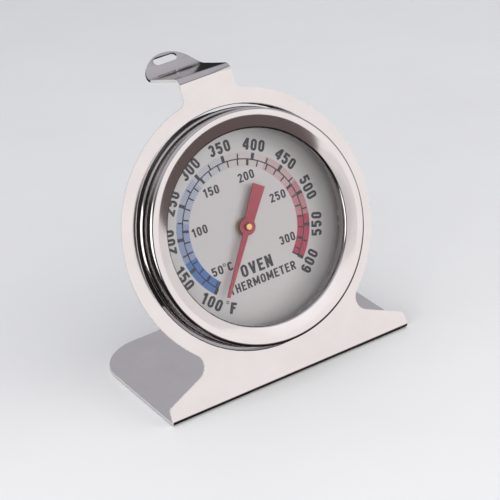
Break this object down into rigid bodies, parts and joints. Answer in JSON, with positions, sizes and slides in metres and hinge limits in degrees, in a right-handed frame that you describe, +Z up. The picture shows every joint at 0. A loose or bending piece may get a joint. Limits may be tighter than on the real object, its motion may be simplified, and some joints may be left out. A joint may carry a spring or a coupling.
{
  "type": "oven thermometer",
  "caption": "Round bimetal dial gauge held in a leaning sheet-metal stand with a flat base plate and a bent hanging tab.",
  "frame": {"origin": "middle of the bounding box's bottom, on the plane the base plate rests on", "axes": "+Z up, the dial faces -Y and leans back, +X to the right when the dial is read"},
  "size_m": [0.0622, 0.0452, 0.0664],
  "materials": {
    "stand_steel": "bright rolled stainless steel, near mirror",
    "bezel_steel": "polished stainless steel",
    "case_steel": "drawn stainless steel, satin",
    "dull_steel": "plain steel, dull",
    "dial_aluminium": "silver-grey printed dial, satin",
    "bimetal": "rolled bimetal strip, straw tinted",
    "brass": "turned brass",
    "pointer_red": "crimson enamel, semi-gloss",
    "clear_glass": "clear flat glass",
    "black_seal": "black heat-resistant sealing ring"
  },
  "bodies": {
    "body": {"bracket": "stand_steel", "bezel": "bezel_steel", "lens": "clear_glass", "lens_seal": "black_seal", "spacer_ring": "dull_steel", "dial_plate": "dial_aluminium", "dial_bush": "brass", "case_cup": "case_steel", "rear_bush": "brass", "bimetal_coil": "bimetal", "coil_anchor": "dull_steel", "anchor_rivet": "dull_steel", "thrust_washer": "dull_steel"},
    "movement": {"pointer": "pointer_red", "pointer_collar": "brass", "pointer_pin": "brass", "spindle": "brass", "coil_arbor": "brass"}
  },
  "joints": [
    {"name": "pointer_turn", "type": "hinge", "parent": "body", "child": "movement", "pos_m": [0, -0.00923, 0.03319], "axis": [0, 0.9415, -0.3371], "range_deg": [-28, 279], "stiffness_Nm_per_rad": 0.0015}
  ]
}
